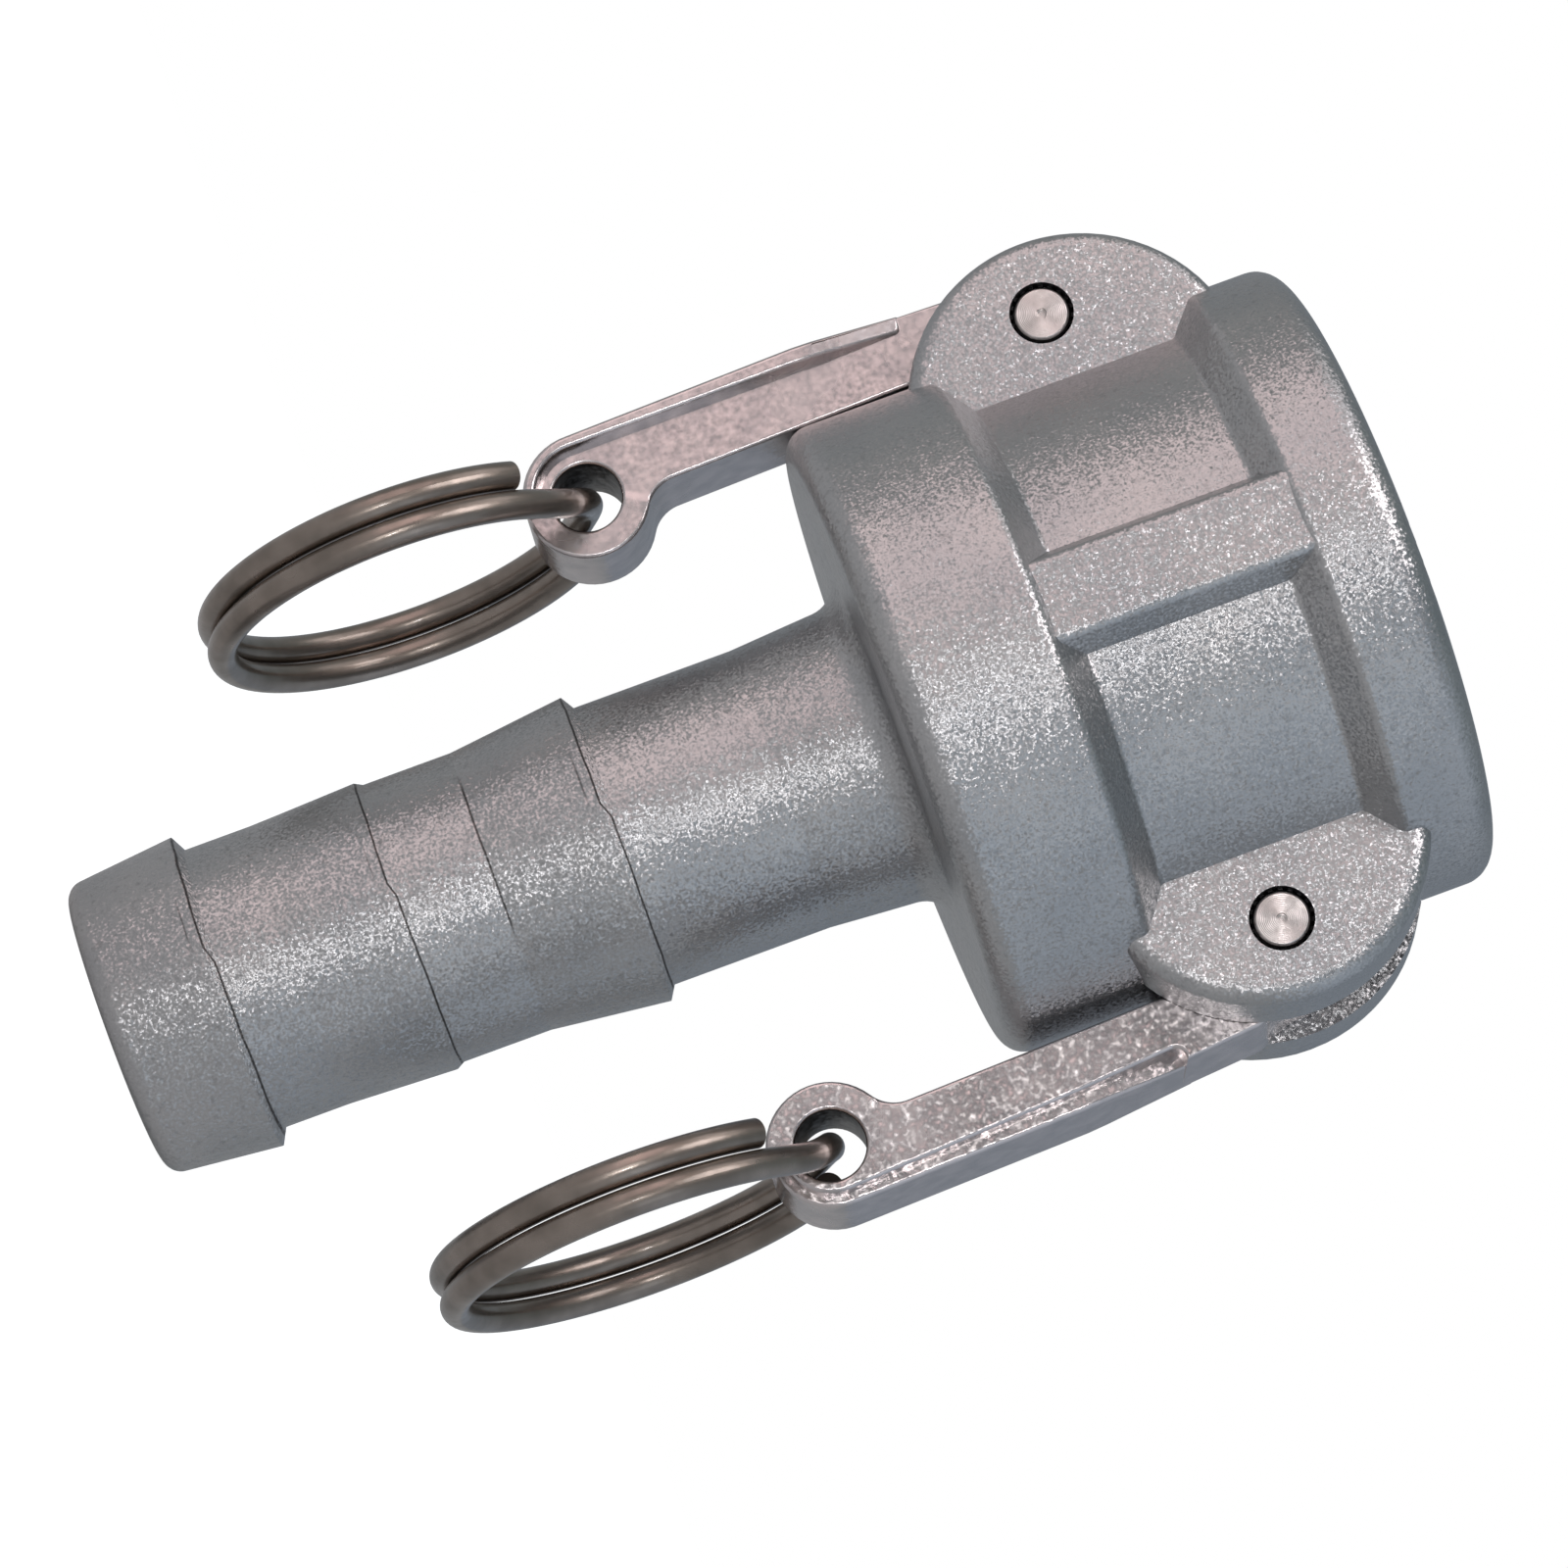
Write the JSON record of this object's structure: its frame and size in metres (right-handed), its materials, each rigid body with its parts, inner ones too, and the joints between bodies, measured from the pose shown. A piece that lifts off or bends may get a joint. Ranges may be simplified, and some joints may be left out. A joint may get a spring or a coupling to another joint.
{
  "type": "cam and groove coupling",
  "caption": "Hose coupling socket with swinging cam arms, pull rings and a barbed shank that lock onto a grooved adapter.",
  "frame": {"origin": "centre of the hose shank's end face", "axes": "+Z along the bore axis from the shank's end to the socket's mouth, Y along the pivot pins, the arms at -X and +X"},
  "size_m": [0.0535, 0.0422, 0.0855],
  "materials": {
    "cast_body": "tumbled aluminium casting with a fine sparkling grain",
    "gasket_rubber": "smooth black rubber",
    "plated_arm": "plated casting, softly bright",
    "pin_steel": "bright turned steel",
    "ring_steel": "drawn wire with a brownish tint"
  },
  "bodies": {
    "body": {"coupler_body": "cast_body", "gasket": "gasket_rubber", "pivot_pin_left": "pin_steel", "pivot_pin_right": "pin_steel"},
    "arm_left": {"cam_arm_left": "plated_arm"},
    "arm_right": {"cam_arm_right": "plated_arm"},
    "ring_left": {"pull_ring_left": "ring_steel"},
    "ring_right": {"pull_ring_right": "ring_steel"}
  },
  "joints": [
    {"name": "arm_left_swing", "type": "hinge", "parent": "body", "child": "arm_left", "pos_m": [-0.021, 0, 0.07045], "axis": [0, 1, 0], "range_deg": [0, 104]},
    {"name": "arm_right_swing", "type": "hinge", "parent": "body", "child": "arm_right", "pos_m": [0.021, 0, 0.07045], "axis": [0, -1, 0], "range_deg": [-3, 101]},
    {"name": "ring_left_swing", "type": "hinge", "parent": "arm_left", "child": "ring_left", "pos_m": [-0.0217, 0, 0.03961], "axis": [0, 1, 0], "range_deg": [-20, 150]},
    {"name": "ring_right_swing", "type": "hinge", "parent": "arm_right", "child": "ring_right", "pos_m": [0.02337, 0, 0.03969], "axis": [0, -1, 0], "range_deg": [-20, 150]}
  ]
}
